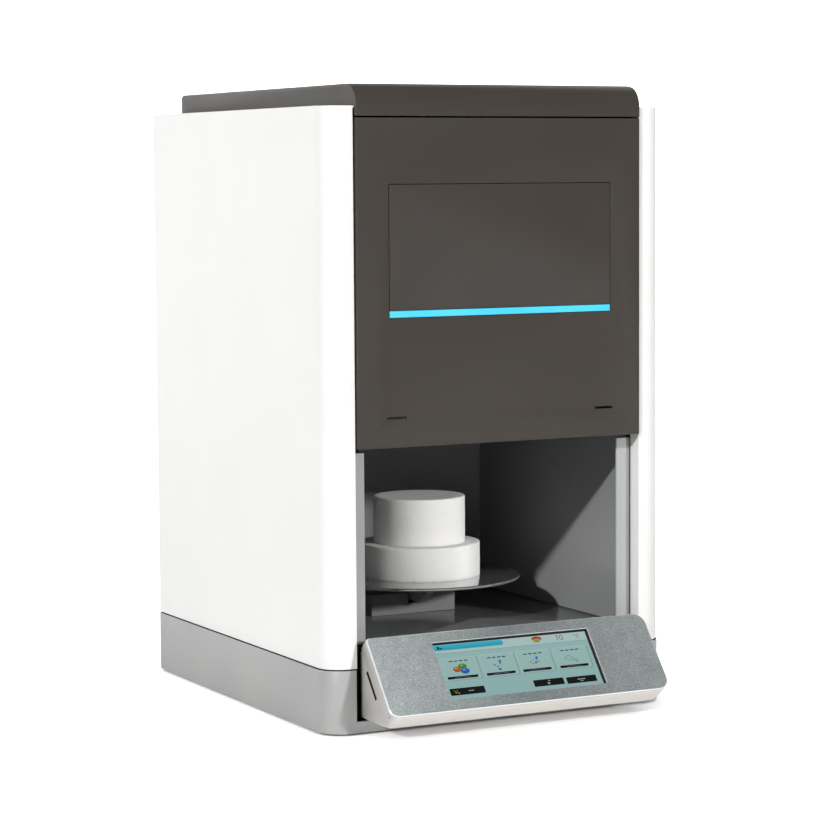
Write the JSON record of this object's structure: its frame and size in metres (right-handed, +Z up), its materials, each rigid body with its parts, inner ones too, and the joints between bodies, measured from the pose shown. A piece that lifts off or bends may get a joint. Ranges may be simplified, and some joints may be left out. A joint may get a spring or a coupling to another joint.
{
  "type": "dental sintering furnace",
  "caption": "White bench furnace for dental ceramics, loaded from below by a lifting round tray with a stepped fibre plug, with a dark front cover and a sloped touch console.",
  "frame": {"origin": "bottom centre of the bounding box", "axes": "+X right seen from the front, +Y to the back, +Z up"},
  "size_m": [0.3584, 0.4592, 0.5848],
  "materials": {
    "white_enamel": "satin",
    "grey_enamel": "satin",
    "dark_enamel": "satin",
    "black_enamel": "matt",
    "window_lacquer": "gloss",
    "accent_plastic": "gloss",
    "cavity_enamel": "semi-gloss",
    "post_alloy": "brushed",
    "machined_alloy": "machined",
    "polished_steel": "polished",
    "bright_steel": "ground",
    "sheet_steel": "brushed",
    "fibre_board": "matt",
    "ceramic_block": "matt",
    "element_oxide": "glazed",
    "bronze": "machined",
    "console_plate_finish": "brushed",
    "console_paint": "satin",
    "black_plastic": "matt",
    "display_glass": "gloss",
    "board": "solder mask",
    "foot_rubber": "matt",
    "core_iron": "varnished"
  },
  "bodies": {
    "chassis": {"base_plinth": "grey_enamel", "rubber_feet": "foot_rubber", "bulkhead": "black_enamel", "deck_rails": "sheet_steel", "columns": "sheet_steel", "left_side_panel": "white_enamel", "right_side_panel": "white_enamel", "rear_panel": "white_enamel", "panel_screws": "bright_steel", "top_cover": "dark_enamel", "front_cover": "dark_enamel", "window_plate": "window_lacquer", "accent_strip": "accent_plastic", "front_posts": "post_alloy", "cavity_liner": "cavity_enamel", "cavity_floor": "cavity_enamel", "lift_shroud": "cavity_enamel", "lift_motor": "black_enamel", "motor_plate": "sheet_steel", "lift_brackets": "machined_alloy", "guide_shafts": "bright_steel", "lift_spine": "sheet_steel", "bracket_screws": "bright_steel", "limit_switches": "black_plastic", "chamber_plate": "cavity_enamel", "chamber_case": "sheet_steel", "seat_insulation": "fibre_board", "lower_insulation": "fibre_board", "middle_insulation": "fibre_board", "roof_insulation": "fibre_board", "heating_elements": "element_oxide", "element_holders": "ceramic_block", "terminal_clamps": "machined_alloy", "thermocouple": "ceramic_block", "console_housing": "console_paint", "console_plate": "console_plate_finish", "screen_bezel": "black_plastic", "touch_display": "display_glass", "display_board": "board", "transformer": "core_iron", "power_controller": "machined_alloy", "control_board": "board", "fan_frame": "black_plastic", "fan_guard": "bright_steel", "inlet_panel": "black_enamel", "power_inlet": "black_plastic", "switch_frame": "black_plastic"},
    "lift": {"tray_disc": "polished_steel", "tray_hub": "machined_alloy", "lower_fibre_disc": "fibre_board", "fibre_plug": "fibre_board", "lift_arm": "machined_alloy", "lift_carriage": "machined_alloy", "linear_bushings": "bright_steel", "lead_nut": "bronze"},
    "screw": {"lead_screw": "bright_steel", "screw_coupling": "machined_alloy", "motor_shaft": "bright_steel"},
    "fan": {"fan_rotor": "black_plastic"},
    "rocker": {"switch_rocker": "black_plastic"}
  },
  "joints": [
    {"name": "lift_slide", "type": "slide", "parent": "chassis", "child": "lift", "axis": [0, 0, 1], "range_m": [0, 0.143]},
    {"name": "screw_turn", "type": "hinge", "parent": "chassis", "child": "screw", "pos_m": [0, 0.1803, 0.1], "axis": [0, 0, 1], "range_deg": [0, 2574]},
    {"name": "fan_spin", "type": "hinge", "parent": "chassis", "child": "fan", "pos_m": [0, 0.2123, 0.43], "axis": [0, 1, 0], "continuous": true},
    {"name": "rocker_tilt", "type": "hinge", "parent": "chassis", "child": "rocker", "pos_m": [0.06, 0.2136, 0.032], "axis": [1, 0, 0], "range_deg": [-14, 0]}
  ],
  "couplings": [
    {"joint": "screw_turn", "follows": "lift_slide", "rad_per_m": 314.16}
  ]
}
